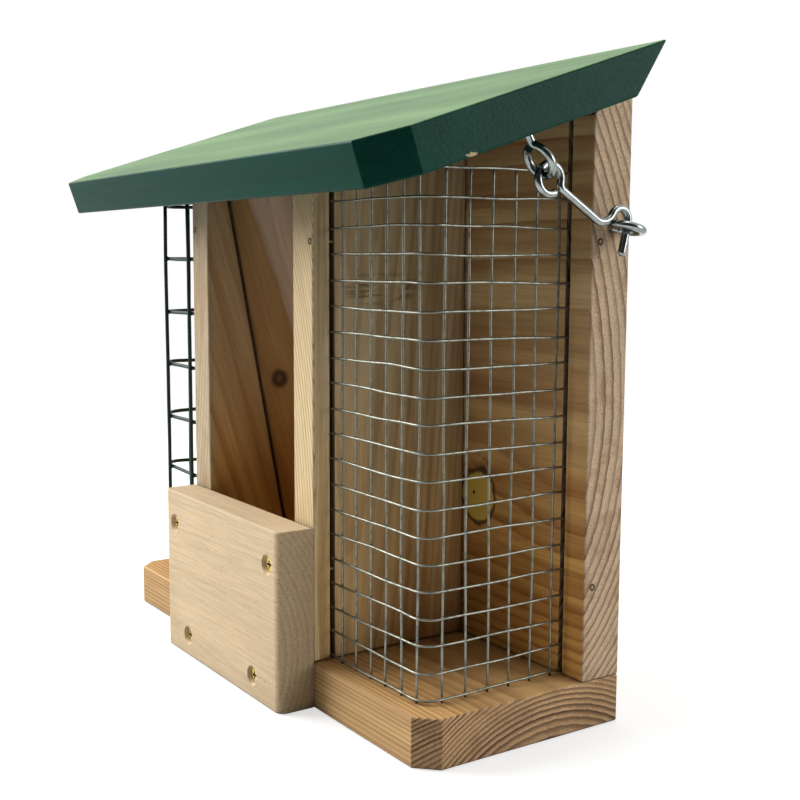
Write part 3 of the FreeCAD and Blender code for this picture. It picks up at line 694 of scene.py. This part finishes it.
def filled_brads():
    """Brad heads under wood-coloured filler, with a dark line around each."""
    shader = Shader("filled_brads")
    grit = shader.noise(shader.place, *FILLER_NOISE)
    colour = shader.mix(grit, FILLER_DARK, FILLER_PALE)
    rim = shader.spread(shader.edges(FILLER_RIM_REACH), *FILLER_RIM)
    colour = shader.mix(rim, colour, FILLER_RIM_COLOUR)
    shader.bump(grit, FILLER_RELIEF)
    roughness = shader.spread(grit, *FILLER_ROUGHNESS)
    return shader.finish(Base_Color=colour, Roughness=roughness, Specular_IOR_Level=FILLER_GLOSS)


def coated_wire():
    """Dark green plastic, dipped on, with a faint orange-peel surface and scuffs."""
    shader = Shader("green_wire_coat")
    peel = shader.noise(shader.place, *COAT_NOISE)
    scuffs = shader.spread(shader.noise(shader.place, *SCUFF_NOISE), *SCUFF_RANGE)
    colour = shader.mix(peel, COAT_DARK, COAT_LIT)
    colour = shader.mix(shader.math("MULTIPLY", scuffs, SCUFF_SHARE), colour, SCUFF_COLOUR)
    shader.bump(peel, COAT_RELIEF)
    roughness = shader.spread(scuffs, *COAT_ROUGHNESS)
    return shader.finish(Base_Color=colour, Roughness=roughness, Specular_IOR_Level=COAT_GLOSS)


def clear_sheet():
    """Clear acrylic with the faintest haze, fine scratches, and painted shade where it stands in its kerfs.
    """
    shader = Shader("clear_acrylic")
    _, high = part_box("hopper_window")
    aside = shader.math("ABSOLUTE", shader.measured(RIGHT))
    # Painted shade where the sheet stands in its kerfs
    kerf_shade = shader.spread(aside, high.x - KERF_SHADE_FROM, high.x - KERF_SHADE_FULL)
    scratched = shader.vector("MULTIPLY", shader.place, SCRATCH_DRAWN)
    scratches = shader.spread(shader.noise(scratched, *SCRATCH_NOISE), *SCRATCH_RANGE)
    haze = shader.spread(shader.noise(shader.place, *HAZE_NOISE), *HAZE_ROUGHNESS)
    roughness = shader.math("MULTIPLY_ADD", scratches, SCRATCH_ROUGHNESS, haze)
    shader.bump(scratches, SCRATCH_RELIEF)
    colour = shader.mix(kerf_shade, CLEAR_TINT, KERF_SHADE_COLOUR)
    clear = shader.opposite(kerf_shade)
    return shader.finish(Base_Color=colour, Roughness=roughness, Transmission_Weight=clear, IOR=CLEAR_IOR)


def floor_white():
    """White that glows to the camera. From below it can be looked through, and it lets light through."""
    shader = Shader("floor_white")
    away = shader.vector("LENGTH", shader.place)
    matt = shader.spread(away, *FLOOR_MATT)
    glow = shader.spread(away, *FLOOR_GLOW)
    mirrored = shader.math("MULTIPLY", shader.reflected(),
                           shader.spread(shader.measured(DARK_SIDE), *FLOOR_DARK))
    seen = shader.math("MAXIMUM", shader.ray("Is Camera Ray"), mirrored)
    from_below = shader.node("ShaderNodeNewGeometry", {}).outputs["Backfacing"]
    from_feeder = shader.math("LESS_THAN", shader.ray("Ray Length"), 2 * FLOOR_GAP)
    passed = shader.math("MAXIMUM", from_below, from_feeder)
    return shader.finish(Base_Color=shader.scaled((1.0, 1.0, 1.0), matt), Roughness=FLOOR_ROUGHNESS,
                         Specular_IOR_Level=0.0, Emission_Color=WHITE,
                         Emission_Strength=shader.math("MULTIPLY", seen, glow),
                         Alpha=shader.opposite(passed))


def dress(material, *nodes):
    for node in nodes:
        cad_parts[node].material_slots[0].material = material


def dress_nodes():
    for node, board in BOARDS.items():
        dress(wood(f"{node}_wood", board, KNOTS.get(node, []), TORN.get(node, [])), node)
    dress(roof_stain(), "roof_board")
    dress(clear_sheet(), "hopper_window")
    zinc = metal(ZINC)
    for side in ("left", "right"):
        dress(zinc, f"{side}_hook", f"{side}_post_eye", f"{side}_roof_eye")
    dress(zinc, "base_screws", "back_screws")
    dress(metal(BRASS), "block_screws")
    dress(filled_brads(), "fine_mesh_brads", "coarse_mesh_brads")


# Objects

def link(thing):
    bpy.context.scene.collection.objects.link(thing)


def new_object(name, shape, material):
    """The finished shape as an object in the scene."""
    mesh = bpy.data.meshes.new(name)
    shape.to_mesh(mesh)
    shape.free()
    mesh.materials.append(material)
    made = bpy.data.objects.new(name, mesh)
    link(made)
    return made


# Wire cages

# A sheet bent once, seen from above: the side it is on, the centre of the bend, the lengths of the front, of
# the bend and of the whole, and the bend's radius
Plan = namedtuple("Plan", "side corner_x corner_y front_run bend_run total bend")


def cage_plan(cage):
    """The sheet's middle plane in plan, from the wire in the divider to the wire in the back board."""
    low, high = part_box(cage.node)
    side = 1 if low.x > 0 else -1
    inner, outer = sorted((abs(low.x), abs(high.x)))
    corner_x = outer - cage.wire - cage.bend
    corner_y = low.y + cage.wire + cage.bend
    front_run = corner_x - (inner + cage.wire / 2)
    bend_run = cage.bend * math.pi / 2
    side_run = high.y - cage.wire / 2 - corner_y
    return Plan(side, corner_x, corner_y, front_run, bend_run, front_run + bend_run + side_run, cage.bend)


def plan_point(plan, along, outward):
    """Place in plan at a distance along the sheet, moved out of its middle plane."""
    past_front = along - plan.front_run
    if past_front <= 0:
        x = plan.corner_x + past_front
        y = plan.corner_y - plan.bend - outward
    elif past_front <= plan.bend_run:
        angle = past_front / plan.bend
        x = plan.corner_x + (plan.bend + outward) * math.sin(angle)
        y = plan.corner_y - (plan.bend + outward) * math.cos(angle)
    else:
        x = plan.corner_x + plan.bend + outward
        y = plan.corner_y + past_front - plan.bend_run
    return plan.side * x, y


def waver(rng, size, length):
    """A smooth random sway of about the given size along a wire."""
    waves = [(rng.uniform(*WAVER_HEIGHTS) * size / turns, math.tau * turns / length, rng.uniform(0, math.tau))
             for turns in WAVER_TURNS]
    return lambda along: sum(height * math.sin(rate * along + start) for height, rate, start in waves)


def add_tube(shape, points, radius, sides):
    """A round closed bar along the points, which lie in no tight bend."""
    heading = (points[1] - points[0]).normalized()
    across = heading.orthogonal().normalized()
    hoops = []
    for index, point in enumerate(points):
        before = points[max(index - 1, 0)]
        after = points[min(index + 1, len(points) - 1)]
        heading = (after - before).normalized()
        across = (across - heading * across.dot(heading)).normalized()
        beside = heading.cross(across)
        hoop = []
        for step in range(sides):
            angle = math.tau * step / sides
            out = across * math.cos(angle) + beside * math.sin(angle)
            hoop.append(shape.verts.new(point + out * radius))
        hoops.append(hoop)
    for hoop, following in zip(hoops, hoops[1:]):
        for step in range(sides):
            other = (step + 1) % sides
            shape.faces.new((hoop[step], hoop[other], following[other], following[step]))
    shape.faces.new(reversed(hoops[0]))
    shape.faces.new(hoops[-1])


def steps_between(start, end, spacing):
    count = max(2, math.ceil((end - start) / spacing))
    return [start + (end - start) * index / count for index in range(count + 1)]


def add_level_wire(shape, cage, plan, height, rise):
    half = cage.wire / 2
    points = []
    for along in steps_between(-half, plan.total + half, cage.bend / STEPS_PER_BEND_RADIUS):
        x, y = plan_point(plan, along, -cage.uprights * half)
        points.append(Vector((x, y, height + rise(along))))
    add_tube(shape, points, half, cage.sides)


def add_upright(shape, cage, plan, along, lean, bottom, top):
    half = cage.wire / 2
    points = []
    for height in steps_between(bottom, top, cage.pitch / STEPS_PER_PITCH):
        x, y = plan_point(plan, along + lean(height), cage.uprights * half)
        points.append(Vector((x, y, height)))
    add_tube(shape, points, half, cage.sides)


def add_weld(shape, size, place):
    placed = Matrix.Translation(place) @ Matrix.Scale(size, 4)
    bmesh.ops.create_icosphere(shape, subdivisions=WELD_SUBDIVISIONS, radius=1, matrix=placed)


def build_cage(cage, material):
    """All wires of one cage, level and upright ones side by side, welded where they cross."""
    rng = random.Random(cage.seed)
    plan = cage_plan(cage)
    low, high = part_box(cage.node)
    top_row = high.z - cage.wire / 2
    row_count = int((top_row - low.z) / cage.pitch) + 1
    heights = [top_row - row * cage.pitch for row in range(row_count)]
    upright_count = round(plan.total / cage.pitch)
    alongs = [plan.total * index / upright_count for index in range(upright_count + 1)]
    rows = [(height, waver(rng, cage.waver, plan.total)) for height in heights]
    uprights = [(along, waver(rng, cage.waver, high.z - low.z)) for along in alongs]
    shape = bmesh.new()
    for height, rise in rows:
        add_level_wire(shape, cage, plan, height, rise)
    for along, lean in uprights:
        add_upright(shape, cage, plan, along, lean, low.z, high.z)
        for height, rise in rows:
            spot = along + lean(height)
            x, y = plan_point(plan, spot, 0)
            size = cage.wire * cage.weld * rng.uniform(*WELD_SIZES)
            add_weld(shape, size, (x, y, height + rise(spot)))
    piece = new_object(cage.piece, shape, material)
    piece.data.shade_smooth()
    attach(piece, "feeder")
    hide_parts(cage.node)


# Studio

def add_camera():
    data = bpy.data.cameras.new("camera")
    data.sensor_fit = "HORIZONTAL"
    data.sensor_width = CAMERA_SENSOR
    data.lens = CAMERA_LENS
    camera = bpy.data.objects.new("camera", data)
    turned = Matrix.Rotation(CAMERA_TURN, 4, "Z") @ Matrix.Rotation(math.pi / 2 - CAMERA_DIP, 4, "X")
    camera.matrix_world = Matrix.Translation(CAMERA_PLACE) @ turned @ Matrix.Rotation(CAMERA_ROLL, 4, "Z")
    link(camera)
    bpy.context.scene.camera = camera


def add_lamp(lamp):
    data = bpy.data.lights.new(lamp.name, "AREA")
    data.shape = "DISK"
    data.size = lamp.size
    data.energy = lamp.power
    light = bpy.data.objects.new(lamp.name, data)
    light.location = lamp.place
    light.rotation_euler = (LAMP_TARGET - light.location).to_track_quat("-Z", "Y").to_euler()
    link(light)


def white_world():
    """White to the camera. Mirrored and lit surfaces also find a darker room on the camera's side."""
    world = bpy.data.worlds.new("studio")
    world.use_nodes = True
    bpy.context.scene.world = world
    nodes = Nodes(world.node_tree)
    direction = nodes.node("ShaderNodeTexCoord", {}).outputs["Generated"]
    room = nodes.spread(nodes.vector("DOT_PRODUCT", direction, DARK_SIDE), *DARK_RANGE)
    light = nodes.spread(nodes.reflected(), 0, 1, AMBIENT, 1.0)
    level = nodes.math("MAXIMUM", nodes.math("MULTIPLY", light, room), nodes.ray("Is Camera Ray"))
    background = nodes.tree.nodes["Background"]
    nodes.feed(background.inputs["Color"], WHITE)
    nodes.feed(background.inputs["Strength"], level)


def add_floor():
    """White disc that takes the feeder's shadow and fades into the white around it."""
    shape = bmesh.new()
    bmesh.ops.create_circle(shape, cap_ends=True, segments=FLOOR_SIDES, radius=FLOOR_RADIUS)
    floor = new_object("floor", shape, floor_white())
    floor.location.z = cad_box[0][2] - FLOOR_GAP


add_camera()
white_world()
for lamp in LAMPS:
    add_lamp(lamp)
add_floor()
dress_nodes()
for cage, material in zip(CAGES, (metal(GALVANISED), coated_wire())):
    build_cage(cage, material)
bpy.context.scene.view_settings.view_transform = "Standard"
